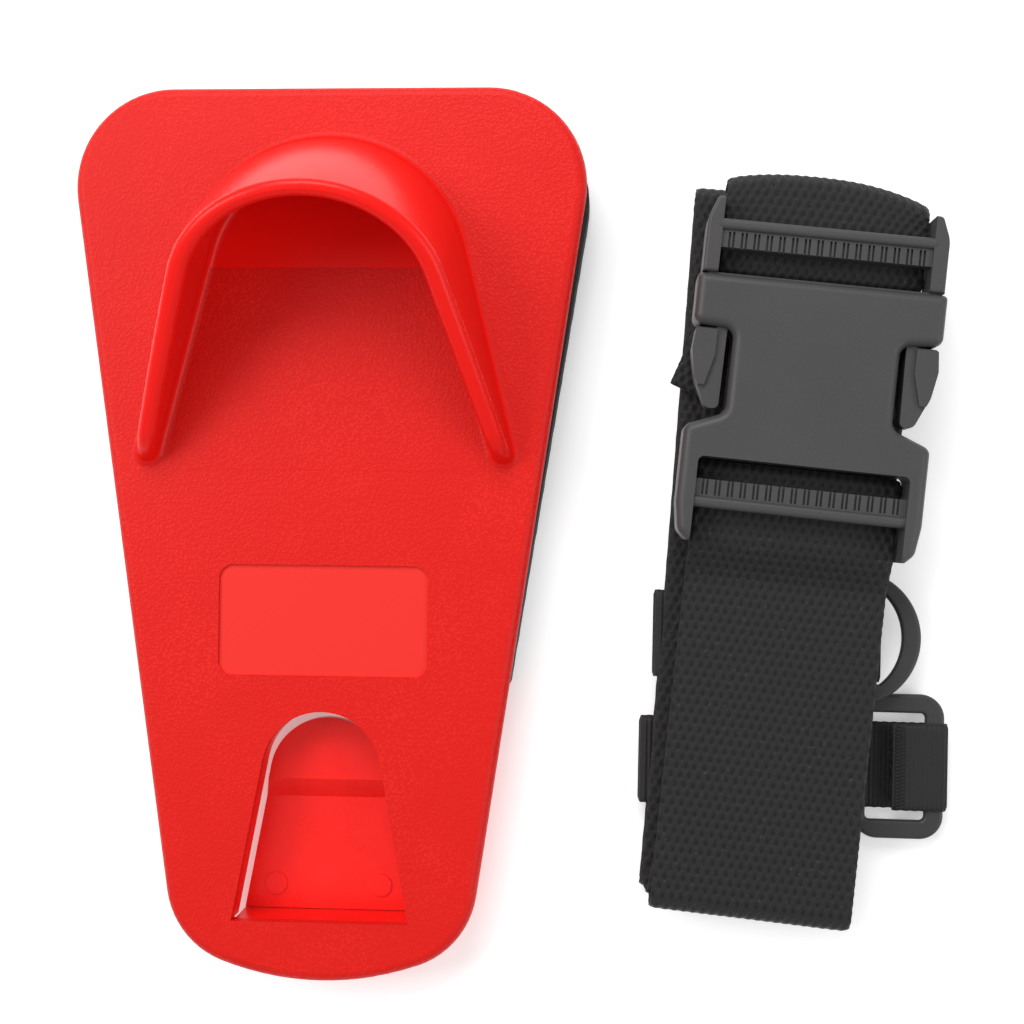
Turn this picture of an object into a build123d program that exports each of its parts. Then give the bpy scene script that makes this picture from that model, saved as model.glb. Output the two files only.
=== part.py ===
from build123d import *
import math
import os

# Rod-butt waist plate with its folded waist belt, lying side by side on a table.
# Millimetres. Z = 0 is the table, +Z comes out of the plate's front face, +Y runs to
# the plate's wide end, and X = 0 is the plate's centreline.

os.makedirs("parts", exist_ok=True)

# Plate
plate_length = 226.0
plate_top_half_width = 69.3        # half width where the straight sides meet the top line
plate_side_taper = 8.35            # degrees, each straight side to the centreline
plate_top_radius = 25.0
plate_end_arc_radius = 73.0
plate_end_corner_radius = 22.0
plate_thickness = 4.0
plate_front_round = 2.6
plate_back_round = 0.8
glue_thickness = 0.3
pad_thickness = 11.7
pad_bottom_y = -38.0
pad_skew = -0.6                    # degrees that the pad was glued out of line
pad_edge_round = 1.6
pad_corner_radius = 27.5           # cut rounder than the plate's corners
pad_top_inset = 0.8

# Cup that takes the rod butt
cup_base_apex_y = 99.8
cup_base_radius = 35.7
cup_side_angle = 14.0              # degrees, each leg to the centreline
cup_radius_taper = 0.07            # lost radius per mm of height
cup_lean = 0.30                    # the closed end leans in by lean*h + curl*h*h
cup_curl = 0.0056
cup_wall = 5.0
cup_leg_end_y = 17.4
cup_rim_low = (24.0, 9.4)          # y and height of the rim near the leg ends
cup_rim_mid = (50.0, 24.6)
cup_rim_high = (80.0, 40.0)
cup_rim_round = 2.0
cup_foot_round = 2.0

# Blank label recess
label_width = 53.0
label_height = 28.0
label_centre_y = -22.3
label_corner_radius = 3.5
label_depth = 0.7

# Belt clip: window, the rim behind it, root wall and tongue
window_half_width = 22.4           # at its straight end
window_end_y = -98.0
window_apex_y = -45.2
window_taper = 10.5                # degrees, each side to the centreline
window_rim_thickness = 2.5
window_rim_depth = 4.4
root_wall_thickness = 3.2
tongue_clearance = 0.5
tongue_tip_gap = 3.1
tongue_thickness = 2.5
tongue_step_height = 3.0
tongue_step_y = (-68.7, -63.7)
tongue_root_gap = 0.2
boss_diameter = 5.6
boss_height = 0.5
boss_spacing = 27.3
boss_y = -91.4

# Waist belt
belt_place = (116.4, 0.0)          # middle of the folded belt's front run
belt_turn = -5.6                   # degrees
webbing_width = 49.6
webbing_thickness = 1.4
layer_gap = 0.3
lower_shift = -3.7                 # how far the lower layers lie to the left
front_fold_v = -90.9               # centres of the folds along the belt
inner_fold_v = -90.0
end_loop_v = -90.6
top_fold_v = 80.8
top_loop_v = 84.8
front_ramp_v = (-12.0, -1.0)       # where the front run climbs to the buckle
socket_tail_end_v = 3.0
plug_tail_end_v = 31.0
plug_tail_shift = -1.0
plug_tail_turn = -7.5              # degrees that the free tail lies out of line

# Buckle, in the belt's frame: u across, v along
buckle_thickness = 10.5
slot_side_clearance = 0.5           # webbing edge to slot end
buckle_side_wall = 4.6
buckle_waist_depth = 9.9
slot_half_width = webbing_width / 2 + slot_side_clearance
buckle_half_width = slot_half_width + buckle_side_wall
buckle_waist_half_width = buckle_half_width - buckle_waist_depth
buckle_skin = 2.0
cavity_margin = 2.5                # cavity wider than the webbing slot, each side
socket_end_v = -3.4
socket_mouth_v = 61.5
notch_v = (27.4, 48.8)
socket_body_v = 17.2               # where the webbing slot starts
socket_edge_round = 2.2
slot_corner_radius = 1.5
webbing_bar_radius = 1.2
bar_clearance = 0.3
adjuster_ridge_width = 2.7
adjuster_comb_width = 4.2
adjuster_drop = 0.7                # ridge top below the buckle's face
comb_drop = 1.1                    # comb below the ridge
comb_pitch = 3.05
comb_groove_width = 0.5
comb_groove_depth = 0.9
comb_count = 15
socket_adjuster_v = 4.9
plug_adjuster_v = 75.0
plug_arm_tip_v = 80.4
plug_arm_clearance = 0.4
plug_flange_v = (57.0, 61.9)
mouth_clearance = 0.25
plug_guide_half_width = 5.0
plug_guide_end_v = 31.0
plug_arm_width = 3.7
plug_arm_round = 0.8
plug_arm_drop = 0.9                # arm top below the buckle's face
plug_guide_thickness = 4.0
prong_root_inset = 7.3             # from the buckle's widest point
prong_pivot_u = buckle_half_width - prong_root_inset
prong_arm_width = 2.4
prong_root_gap = 0.3
prong_pad_overhang = 1.0           # thumb pad thicker than the prong, each side

# Keepers and rings, each in its keeper's own frame
tape_width = 22.0
tape_thickness = 0.8
keeper_slack = 0.75                # between the webbing and the tape, above and below
keeper_side_slack = 1.6
keeper_turn = 5.0
ring_thickness = 2.4
ring_round = 1.0
d_keeper_v = -25.0
d_ring_radius = 17.3
d_ring_band = 4.8
d_ring_eye_half_height = 14.1
d_ring_bar_gap = 3.0               # lower layers' edge to the bar's middle
d_ring_bar_offset = 5.1            # bow's centre to the bar's middle
d_ring_bar_x = webbing_width / 2 + lower_shift + d_ring_bar_gap
d_ring_centre_x = d_ring_bar_x - d_ring_bar_offset
square_keeper_v = -57.6
square_ring_height = 36.6
square_ring_gap = 2.5              # lower layers' edge to the inner bar
square_ring_width = 22.5
square_ring_left_x = webbing_width / 2 + lower_shift + square_ring_gap
square_ring_right_x = square_ring_left_x + square_ring_width
square_ring_band = 3.0             # inner bar
square_ring_bar = 4.8              # outer bar, which the tape laps round
square_ring_end_band = 4.8
square_ring_corner_radius = 6.0
square_ring_inner_radius = 1.2
tape_flap_lap = 13.1               # flap's end to the outer bar's edge
tape_flap_x = square_ring_right_x - tape_flap_lap

# Levels that follow from the values above
plate_back_z = glue_thickness + pad_thickness
face_z = plate_back_z + plate_thickness
half_webbing = webbing_thickness / 2
c_lower_z = half_webbing
c_upper_z = webbing_thickness + layer_gap + tape_thickness + keeper_slack + half_webbing
b_lower_z = c_upper_z + webbing_thickness + 2 * keeper_slack + tape_thickness
b_upper_z = b_lower_z + webbing_thickness + keeper_slack + tape_thickness + layer_gap
tail_z = b_upper_z + webbing_thickness + layer_gap
a_lower_z = tail_z + webbing_thickness + layer_gap
a_upper_z = a_lower_z + webbing_thickness + layer_gap
buckle_bottom_z = a_upper_z + half_webbing + layer_gap
buckle_top_z = buckle_bottom_z + buckle_thickness
wrap_radius = webbing_bar_radius + bar_clearance + half_webbing
bar_z = a_upper_z + wrap_radius
bar_run_z = bar_z + wrap_radius
adjuster_bottom_z = bar_run_z + half_webbing + bar_clearance
socket_bar_v = socket_body_v - layer_gap - half_webbing - wrap_radius
plug_bar_v = plug_flange_v[1] + layer_gap + half_webbing + wrap_radius


def half_width_at(y):
    """Half width of the plate's straight-sided outline at height y."""
    return plate_top_half_width - (plate_length / 2 - y) * math.tan(math.radians(plate_side_taper))


def plate_outline(top_inset=0.0, top_radius=plate_top_radius):
    """Tapered outline: flat wide end, straight sides and an arched narrow end."""
    top = plate_length / 2
    arc_centre = -plate_length / 2 + plate_end_arc_radius
    blank = Polyline(
        (-plate_top_half_width, top),
        (plate_top_half_width, top),
        (half_width_at(-top - 10), -top - 10),
        (-half_width_at(-top - 10), -top - 10),
        close=True,
    )
    end_disc = Pos(0, arc_centre) * Circle(plate_end_arc_radius)
    upper = Pos(0, arc_centre + plate_length / 2) * Rectangle(2 * plate_length, plate_length)
    outline = make_face(blank) & (end_disc + upper) & Pos(0, -top_inset) * Rectangle(2 * top, 2 * top)
    wide = outline.vertices().sort_by(Axis.Y)[-2:]
    outline = fillet(wide, top_radius)
    narrow = outline.vertices().sort_by(Axis.Y)[:2]
    return fillet(narrow, plate_end_corner_radius)


def window_outline(margin):
    """Window with a straight end and an arched far end, grown by a margin."""
    taper = math.radians(window_taper)
    offset_at_end = window_half_width * math.cos(taper) + margin
    apex = window_apex_y + margin
    end = window_end_y
    radius = (offset_at_end - math.sin(taper) * (apex - end)) / (1 - math.sin(taper))
    centre = apex - radius
    tangent_x = radius * math.cos(taper)
    tangent_y = centre + radius * math.sin(taper)
    end_x = offset_at_end / math.cos(taper)
    lines = Polyline((-tangent_x, tangent_y), (-end_x, end), (end_x, end), (tangent_x, tangent_y))
    arch = ThreePointArc((tangent_x, tangent_y), (0, apex), (-tangent_x, tangent_y))
    return make_face([*lines.edges(), arch.edge()])


def cup_section(height, inset):
    """Level section of the cup at a height above the plate face: arch and two legs."""
    radius = cup_base_radius - cup_radius_taper * height
    centre_y = cup_base_apex_y - cup_lean * height - cup_curl * height**2 - radius
    radius = radius - inset
    angle = math.radians(cup_side_angle)
    open_y = cup_leg_end_y - 12
    tangent_x = radius * math.cos(angle)
    tangent_y = centre_y + radius * math.sin(angle)
    open_x = tangent_x + (tangent_y - open_y) * math.tan(angle)
    lines = Polyline((-tangent_x, tangent_y), (-open_x, open_y), (open_x, open_y), (tangent_x, tangent_y))
    arch = ThreePointArc((tangent_x, tangent_y), (0, centre_y + radius), (-tangent_x, tangent_y))
    return Pos(0, 0, face_z + height) * make_face([*lines.edges(), arch.edge()])


def cup():
    """Hood with leaning walls, cut by the sloping rim, its lip rounded."""
    heights = (-1.0, 14.0, 29.0, 45.0)
    outer = loft([cup_section(height, 0) for height in heights])
    inner = loft([cup_section(height, cup_wall) for height in heights])
    rim = ThreePointArc(
        (0, cup_rim_low[0], face_z + cup_rim_low[1]),
        (0, cup_rim_mid[0], face_z + cup_rim_mid[1]),
        (0, cup_rim_high[0], face_z + cup_rim_high[1]),
    )
    nose = TangentArc(
        (0, cup_rim_low[0], face_z + cup_rim_low[1]),
        (0, cup_leg_end_y, face_z),
        tangent=-(rim % 0),
    )
    beyond = Line(rim @ 1, (rim @ 1) + (rim % 1) * 40)
    frame = Polyline(beyond @ 1, (0, (beyond @ 1).Y, face_z - 1), (0, cup_leg_end_y, face_z - 1),
                     (0, cup_leg_end_y, face_z))
    side = make_face([rim.edge(), nose.edge(), beyond.edge(), *frame.edges()])
    kept = extrude(side, 70, dir=(1, 0, 0), both=True)
    shell = (outer - inner) & kept
    lip = [
        edge for edge in shell.edges()
        if (edge @ 0.5).Z > face_z + 2.0 and abs(rim_height((edge @ 0.5).Y) - (edge @ 0.5).Z) < 1.5
    ]
    return shell, lip


def rim_height(y):
    """Height of the rim's sloping curve at y."""
    low, mid, high = cup_rim_low, cup_rim_mid, cup_rim_high
    first = low[1] * (y - mid[0]) * (y - high[0]) / ((low[0] - mid[0]) * (low[0] - high[0]))
    second = mid[1] * (y - low[0]) * (y - high[0]) / ((mid[0] - low[0]) * (mid[0] - high[0]))
    third = high[1] * (y - low[0]) * (y - mid[0]) / ((high[0] - low[0]) * (high[0] - mid[0]))
    return face_z + first + second + third


def moulded_plate():
    """Plate with cup, label recess, window, the rim behind it and the root wall."""
    slab = Pos(0, 0, plate_back_z) * extrude(plate_outline(), plate_thickness)
    slab = fillet(slab.edges().group_by(Axis.Z)[-1], plate_front_round)
    slab = fillet(slab.edges().group_by(Axis.Z)[0], plate_back_round)
    shell, lip = cup()
    seams = [edge for edge in lip if edge.geom_type == GeomType.LINE]
    shell = fillet([edge for edge in lip if edge not in seams], cup_rim_round)
    slab = slab + shell
    foot = [
        edge for edge in slab.edges()
        if abs((edge @ 0.5).Z - face_z) < 0.01 and abs((edge @ 0.1).Z - face_z) < 0.01
        and cup_leg_end_y - 1 < (edge @ 0.5).Y < cup_base_apex_y + 1
        and abs((edge @ 0.5).X) < cup_base_radius + cup_base_apex_y / 5
    ]
    slab = fillet(foot, cup_foot_round)
    label = fillet(Rectangle(label_width, label_height).vertices(), label_corner_radius)
    slab -= Pos(0, label_centre_y, face_z - label_depth) * extrude(label, 2 * label_depth)
    rim_bottom = plate_back_z - window_rim_depth
    rim = extrude(window_outline(window_rim_thickness), window_rim_depth)
    slab += Pos(0, 0, rim_bottom) * rim
    root_width = 2 * (window_half_width - tongue_clearance)
    root_y = window_end_y - root_wall_thickness / 2
    slab += Pos(0, root_y, plate_back_z / 2) * Box(root_width, root_wall_thickness, plate_back_z)
    return slab - extrude(window_outline(0), face_z + 1)


def belt_clip_tongue():
    """Belt clip tongue: flat, then stepped towards the plate, with two low bosses."""
    taper = math.radians(window_taper)
    tip_shift = tongue_tip_gap - tongue_clearance
    blank = Pos(0, -tip_shift) * window_outline(tip_shift * math.sin(taper) - tongue_clearance)
    root_y = window_end_y + tongue_root_gap
    tip_y = window_apex_y - tongue_tip_gap + 1
    deep, high = tongue_step_y
    side = make_face(Polyline(
        (0, root_y, 0),
        (0, deep, 0),
        (0, high, tongue_step_height),
        (0, tip_y, tongue_step_height),
        (0, tip_y, tongue_step_height + tongue_thickness),
        (0, high, tongue_step_height + tongue_thickness),
        (0, deep, tongue_thickness),
        (0, root_y, tongue_thickness),
        close=True,
    ))
    tongue = extrude(blank, face_z) & extrude(side, window_half_width + 1, dir=(1, 0, 0), both=True)
    boss = Cylinder(boss_diameter / 2, boss_height + 0.5, align=(Align.CENTER, Align.CENTER, Align.MIN))
    for side_x in (-boss_spacing / 2, boss_spacing / 2):
        tongue += Pos(side_x, boss_y, tongue_thickness - 0.5) * boss
    return tongue


def pad_outline():
    """The plate's outline turned by the pad's skew and ended above the belt clip."""
    outline = plate_outline(pad_top_inset, pad_corner_radius)
    turned = Pos(0, -20) * Rot(0, 0, pad_skew) * Pos(0, 20) * outline
    return turned & Pos(0, pad_bottom_y + plate_length) * Rectangle(2 * plate_length, 2 * plate_length)


def back_pad():
    """Foam pad under the wide part of the plate."""
    pad = extrude(pad_outline(), pad_thickness)
    return fillet(pad.edges().group_by(Axis.Z)[0], pad_edge_round)


def pad_glue_film():
    """Adhesive film between the pad and the plate."""
    film = pad_outline() & offset(plate_outline(), -2 * plate_back_round)
    return Pos(0, 0, pad_thickness) * extrude(film, glue_thickness)


def strip_run(level, start_v, end_v, shift=0.0):
    """Straight length of webbing at one level."""
    middle = Pos(shift, (start_v + end_v) / 2, level)
    return middle * Box(webbing_width, abs(end_v - start_v), webbing_thickness)


def strip_fold(centre_v, low, high, way, shift=0.0):
    """Half turn of webbing between two levels, bulging towards way along the belt."""
    radius = (high - low) / 2
    ring = Cylinder(radius + half_webbing, webbing_width) - Cylinder(radius - half_webbing, webbing_width)
    reach = radius + webbing_thickness
    half = Pos(0, way * reach / 2, 0) * Box(webbing_width + 2, reach, 2 * reach)
    return Pos(shift, centre_v, (low + high) / 2) * ((Rot(0, 90, 0) * ring) & half)


def strip_ramp(start, end):
    """Sloping length of webbing between two (v, z) points on its middle."""
    length = math.dist(start, end)
    angle = math.degrees(math.atan2(end[1] - start[1], end[0] - start[0]))
    middle = Pos(0, (start[0] + end[0]) / 2, (start[1] + end[1]) / 2)
    return middle * Rot(angle, 0, 0) * Box(webbing_width, length + 0.2, webbing_thickness)


def waist_webbing():
    """One strip: socket bar, front run, six folded layers, plug bar and free tail."""
    fold_shift = lower_shift / 2
    strip = strip_run(a_upper_z, socket_tail_end_v, socket_bar_v)
    strip += strip_fold(socket_bar_v, a_upper_z, bar_run_z, 1)
    strip += strip_run(bar_run_z, front_ramp_v[1], socket_bar_v)
    strip += strip_ramp((front_ramp_v[0], a_upper_z), (front_ramp_v[1], bar_run_z))
    strip += strip_run(a_upper_z, front_fold_v, front_ramp_v[0])
    strip += strip_fold(front_fold_v, b_lower_z, a_upper_z, -1, fold_shift)
    strip += strip_run(b_lower_z, front_fold_v, top_fold_v, lower_shift)
    strip += strip_fold(top_fold_v, c_upper_z, b_lower_z, 1, lower_shift)
    strip += strip_run(c_upper_z, end_loop_v, top_fold_v, lower_shift)
    strip += strip_fold(end_loop_v, c_lower_z, c_upper_z, -1, lower_shift)
    strip += strip_run(c_lower_z, end_loop_v, top_fold_v, lower_shift)
    strip += strip_fold(top_fold_v, c_lower_z, b_upper_z, 1, lower_shift)
    strip += strip_run(b_upper_z, inner_fold_v, top_fold_v, lower_shift)
    strip += strip_fold(inner_fold_v, b_upper_z, a_lower_z, -1, fold_shift)
    strip += strip_run(a_lower_z, inner_fold_v, top_loop_v)
    strip += strip_fold(top_loop_v, a_lower_z, a_upper_z, 1)
    strip += strip_run(a_upper_z, plug_bar_v, top_loop_v)
    strip += strip_fold(plug_bar_v, a_upper_z, bar_run_z, -1)
    strip += strip_run(bar_run_z, plug_bar_v, top_loop_v)
    strip += strip_fold(top_loop_v, tail_z, bar_run_z, 1)
    tail_turn = Pos(plug_tail_shift, top_loop_v, 0) * Rot(0, 0, plug_tail_turn) * Pos(0, -top_loop_v, 0)
    strip += tail_turn * strip_run(tail_z, plug_tail_end_v, top_loop_v)
    return strip


def both_sides(half):
    """A piece together with its mirror image across u = 0."""
    return half + mirror(half, Plane.YZ)


def adjuster(ridge_v, way):
    """Adjuster bar: smooth ridge and, on the side given by way, a comb of ribs."""
    ridge_top = buckle_top_z - adjuster_drop
    comb_top = ridge_top - comb_drop
    length = 2 * slot_half_width + 1
    ridge_mid = ridge_v + way * adjuster_ridge_width / 2
    comb_mid = ridge_v + way * (adjuster_ridge_width + adjuster_comb_width / 2)
    ridge_height = ridge_top - adjuster_bottom_z
    ridge = Pos(0, ridge_mid, adjuster_bottom_z + ridge_height / 2) * Box(length, adjuster_ridge_width, ridge_height)
    ridge = fillet(ridge.edges().filter_by(Axis.X).group_by(Axis.Z)[-1], comb_drop)
    comb_height = comb_top - adjuster_bottom_z
    comb = Pos(0, comb_mid, adjuster_bottom_z + comb_height / 2) * Box(length, adjuster_comb_width, comb_height)
    grooves = []
    for index in range(comb_count + 1):
        centre = (index - comb_count / 2) * comb_pitch
        for offset_u in (-comb_groove_width, comb_groove_width):
            grooves.append(
                Pos(centre + offset_u, comb_mid + way * 0.4, comb_top)
                * Box(comb_groove_width, adjuster_comb_width, 2 * comb_groove_depth)
            )
    return ridge + (comb - grooves)


def webbing_bar(bar_v):
    """Round bar between the arms that the webbing turns around."""
    bar = Cylinder(webbing_bar_radius, 2 * slot_half_width + 1)
    return Pos(0, bar_v, bar_z) * Rot(0, 90, 0) * bar


def buckle_socket():
    """Socket moulding: waisted shell open at the mouth and notches, arms and bars."""
    wide = buckle_half_width
    waist = buckle_waist_half_width
    low, high = notch_v
    half = [
        (slot_half_width + 1.0, socket_end_v, 0.9),
        (wide - 1.4, socket_end_v + 2.2, 3.2),
        (wide - 0.4, socket_end_v + 9.0, 9.0),
        (wide - 0.4, low - 3.0, 2.4),
        (waist, low + 0.8, 3.0),
        (waist, high - 0.4, 2.6),
        (wide, high + 0.3, 2.4),
        (wide, socket_mouth_v, 1.0),
    ]
    points = [(u, v) for u, v, _ in half] + [(-u, v) for u, v, _ in reversed(half)]
    radii = [r for _, _, r in half] + [r for _, _, r in reversed(half)]
    outline = make_face(FilletPolyline(*points, radius=radii, close=True))
    body = Pos(0, 0, buckle_bottom_z) * extrude(outline, buckle_thickness)
    body = fillet(body.edges().group_by(Axis.Z)[-1], socket_edge_round)
    cavity_length = socket_mouth_v - low
    cavity = Box(2 * cavity_half_width, cavity_length, cavity_top_z - cavity_bottom_z)
    body -= Pos(0, low + 1.1 + cavity_length / 2, (cavity_top_z + cavity_bottom_z) / 2) * cavity
    slot = Box(2 * slot_half_width, socket_body_v - socket_end_v + 4, 3 * buckle_thickness)
    slot = fillet(slot.edges().filter_by(Axis.Z).group_by(Axis.Y)[-1], slot_corner_radius)
    body -= Pos(0, (socket_body_v + socket_end_v - 4) / 2, buckle_bottom_z) * slot
    return body + adjuster(socket_adjuster_v, 1) + webbing_bar(socket_bar_v)


def buckle_plug():
    """Plug moulding: arms with the bars, the flange in the mouth and the guide."""
    arm_top_z = buckle_top_z - plug_arm_drop
    arm_start_v = socket_mouth_v + plug_arm_clearance
    arm_height = arm_top_z - buckle_bottom_z
    arm_outer = slot_half_width + plug_arm_width
    arm = make_face(Polyline(
        (slot_half_width, arm_start_v),
        (arm_outer, arm_start_v),
        (arm_outer, plug_arm_tip_v - 5.5),
        (slot_half_width + 1.6, plug_arm_tip_v),
        (slot_half_width, plug_arm_tip_v),
        close=True,
    ))
    corners = arm.vertices().sort_by(Axis.Y)
    arm = fillet(corners[2], 8.0)
    arm = fillet(arm.vertices().sort_by(Axis.Y)[-2:].sort_by(Axis.X)[-1], 1.2)
    arm = extrude(arm, arm_height)
    rounded = arm.edges().group_by(Axis.Z)[-1].filter_by(lambda edge: (edge @ 0.5).X > slot_half_width + 1.7)
    arm = fillet(rounded, plug_arm_round)
    arm = Pos(0, 0, buckle_bottom_z) * arm
    flange_low, flange_high = plug_flange_v
    flange_half = cavity_half_width - mouth_clearance
    flange_bottom = cavity_bottom_z + mouth_clearance
    flange_height = cavity_top_z - cavity_bottom_z - 2 * mouth_clearance
    flange_z = flange_bottom + flange_height / 2
    frame = Pos(0, (flange_low + flange_high) / 2, flange_z) * Box(2 * flange_half, flange_high - flange_low, flange_height)
    web_width = flange_half - slot_half_width
    web = Pos(slot_half_width + web_width / 2, flange_high, flange_z) * Box(web_width, 6, flange_height)
    frame += both_sides(arm + web)
    guide_length = flange_low - plug_guide_end_v + 1
    guide = Box(2 * plug_guide_half_width, guide_length, plug_guide_thickness)
    guide = fillet(guide.edges().filter_by(Axis.Z).group_by(Axis.Y)[0], plug_guide_half_width * 0.6)
    frame += Pos(0, plug_guide_end_v + guide_length / 2, flange_z) * guide
    return frame + adjuster(plug_adjuster_v, -1) + webbing_bar(plug_bar_v)


def plug_prong(side):
    """Sprung prong with its catch shoulder and thumb pad, for the side -1 or 1."""
    pivot_u = prong_pivot_u
    root_v = plug_flange_v[0] - prong_root_gap
    inner = pivot_u - prong_arm_width / 2
    outer = pivot_u + prong_arm_width / 2
    shoulder_v = notch_v[1] - 0.4
    end_v = notch_v[0] + 1.6
    points = [
        (inner, root_v, 0.5),
        (outer, root_v, 0.5),
        (outer, shoulder_v, 0.6),
        (buckle_half_width - 0.9, shoulder_v, 0.6),
        (buckle_half_width - 0.4, shoulder_v - 5.5, 4.0),
        (buckle_half_width - 1.6, shoulder_v - 12.0, 6.0),
        (outer + 1.2, end_v, 2.0),
        (inner + 0.4, end_v, 1.4),
    ]
    outline = make_face(FilletPolyline(*[p[:2] for p in points], radius=[p[2] for p in points], close=True))
    bottom = cavity_bottom_z + mouth_clearance
    height = cavity_top_z - cavity_bottom_z - 2 * mouth_clearance
    prong = Pos(0, 0, bottom) * extrude(outline, height)
    pad_edge = make_face(Polyline(
        (pivot_u + 1.3, shoulder_v - 0.4),
        (pivot_u + 1.3, shoulder_v - 6.5),
        (pivot_u + 3.2, shoulder_v - 14.0),
        (buckle_half_width + 2, shoulder_v - 14.0),
        (buckle_half_width + 2, shoulder_v - 0.4),
        close=True,
    ))
    pad_blank = outline & pad_edge
    pad = Pos(0, 0, bottom - prong_pad_overhang) * extrude(pad_blank, height + 2 * prong_pad_overhang)
    pad = fillet(pad.edges().filter_by(Axis.Z), 0.4)
    prong += pad
    return prong if side > 0 else mirror(prong, Plane.YZ)


def keeper_loop(level, right_centre):
    """Level loop of narrow tape around one layer of webbing, seen along the belt."""
    inside = half_webbing + keeper_slack
    left = -webbing_width / 2 + lower_shift - keeper_side_slack
    left_centre = left + inside
    length = right_centre - left_centre
    outer = SlotCenterToCenter(length, 2 * (inside + tape_thickness))
    loop = outer - SlotCenterToCenter(length, 2 * inside)
    face = Plane.XZ * (Pos((left_centre + right_centre) / 2, level) * loop)
    return extrude(face, tape_width / 2, both=True)


def d_ring_keeper():
    """Tape loop that holds the D-ring's straight bar at its right end."""
    return keeper_loop(b_lower_z, d_ring_bar_x)


def d_ring():
    """D-ring: straight bar and a bow of larger section."""
    outer_disc = Pos(d_ring_centre_x, 0) * Circle(d_ring_radius)
    eye_half_width = d_ring_radius - d_ring_band
    inner_disc = Pos(d_ring_centre_x, 0) * Ellipse(eye_half_width, d_ring_eye_half_height)
    bar_left = d_ring_bar_x - ring_thickness / 2
    bar_right = d_ring_bar_x + ring_thickness / 2
    outer = outer_disc & Pos(bar_left + 25, 0) * Rectangle(50, 50)
    inner = inner_disc & Pos(bar_right + 25, 0) * Rectangle(50, 50)
    outer = fillet(outer.vertices(), 1.6)
    inner = fillet(inner.vertices(), 0.6)
    ring = extrude(outer - inner, ring_thickness / 2, both=True)
    return Pos(0, 0, b_lower_z) * fillet(ring.edges().group_by(Axis.Z)[-1] + ring.edges().group_by(Axis.Z)[0], ring_round)


def square_ring_keeper():
    """Tape loop whose end runs under the ring and laps back over its outer bar."""
    inside = half_webbing + keeper_slack
    layer_right = webbing_width / 2 + lower_shift + tape_width / 2 * math.sin(math.radians(keeper_turn))
    loop_end = layer_right + layer_gap - math.sqrt(inside**2 - half_webbing**2)
    lap_centre = square_ring_right_x + layer_gap - inside
    under = Pos((loop_end + lap_centre) / 2, c_upper_z - inside - tape_thickness / 2)
    path = under * Rectangle(lap_centre - loop_end, tape_thickness)
    over = Pos((tape_flap_x + lap_centre) / 2, c_upper_z + inside + tape_thickness / 2)
    path += over * Rectangle(lap_centre - tape_flap_x, tape_thickness)
    bend = Circle(inside + tape_thickness) - Circle(inside)
    bend &= Pos(inside, 0) * Rectangle(2 * inside, 4 * inside)
    path += Pos(lap_centre, c_upper_z) * bend
    lap = extrude(Plane.XZ * path, tape_width / 2, both=True)
    return keeper_loop(c_upper_z, loop_end) + lap


def square_ring():
    """Rectangular ring with rounded corners."""
    width = square_ring_right_x - square_ring_left_x
    outer = fillet(Rectangle(width, square_ring_height).vertices(), square_ring_corner_radius)
    eye_width = width - square_ring_band - square_ring_bar
    inner = Rectangle(eye_width, square_ring_height - 2 * square_ring_end_band)
    inner = Pos((square_ring_band - square_ring_bar) / 2, 0) * fillet(inner.vertices(), square_ring_inner_radius)
    ring = extrude(outer - inner, ring_thickness / 2, both=True)
    outline = ring.edges().group_by(Axis.Z)
    ring = fillet(outline[-1] + outline[0], ring_round)
    return Pos((square_ring_left_x + square_ring_right_x) / 2, 0, c_upper_z) * ring


cavity_half_width = slot_half_width + cavity_margin
cavity_bottom_z = buckle_bottom_z + buckle_skin
cavity_top_z = buckle_top_z - buckle_skin
belt_frame = Pos(belt_place[0], belt_place[1], 0) * Rot(0, 0, belt_turn)
d_keeper_frame = belt_frame * Pos(0, d_keeper_v, 0) * Rot(0, 0, keeper_turn)
square_keeper_frame = belt_frame * Pos(0, square_keeper_v, 0) * Rot(0, 0, keeper_turn)

pieces = {
    "moulded_plate": moulded_plate(),
    "belt_clip_tongue": belt_clip_tongue(),
    "back_pad": back_pad(),
    "pad_glue_film": pad_glue_film(),
    "waist_webbing": belt_frame * waist_webbing(),
    "buckle_socket": belt_frame * buckle_socket(),
    "buckle_plug": belt_frame * buckle_plug(),
    "plug_prong_left": belt_frame * plug_prong(-1),
    "plug_prong_right": belt_frame * plug_prong(1),
    "d_ring_keeper": d_keeper_frame * d_ring_keeper(),
    "d_ring": d_keeper_frame * d_ring(),
    "square_ring_keeper": square_keeper_frame * square_ring_keeper(),
    "square_ring": square_keeper_frame * square_ring(),
}

for name, piece in pieces.items():
    export_step(piece, f"parts/{name}.step")
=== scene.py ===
import math

import bpy
import numpy as np
from mathutils import Matrix, Vector


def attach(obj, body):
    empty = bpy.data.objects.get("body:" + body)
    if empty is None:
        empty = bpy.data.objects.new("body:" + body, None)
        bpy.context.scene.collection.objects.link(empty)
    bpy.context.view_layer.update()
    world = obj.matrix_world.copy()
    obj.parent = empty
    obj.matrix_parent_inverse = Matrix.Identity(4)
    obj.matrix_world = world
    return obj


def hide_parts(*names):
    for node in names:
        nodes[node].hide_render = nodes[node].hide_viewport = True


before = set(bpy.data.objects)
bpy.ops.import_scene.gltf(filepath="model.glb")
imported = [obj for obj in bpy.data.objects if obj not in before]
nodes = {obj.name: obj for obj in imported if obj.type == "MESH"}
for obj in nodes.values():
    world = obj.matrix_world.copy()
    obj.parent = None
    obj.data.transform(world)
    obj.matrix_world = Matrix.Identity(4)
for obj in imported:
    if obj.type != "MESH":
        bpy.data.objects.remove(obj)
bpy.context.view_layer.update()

mm = 0.001
print("frame loaded:", len(nodes), "nodes")


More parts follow.
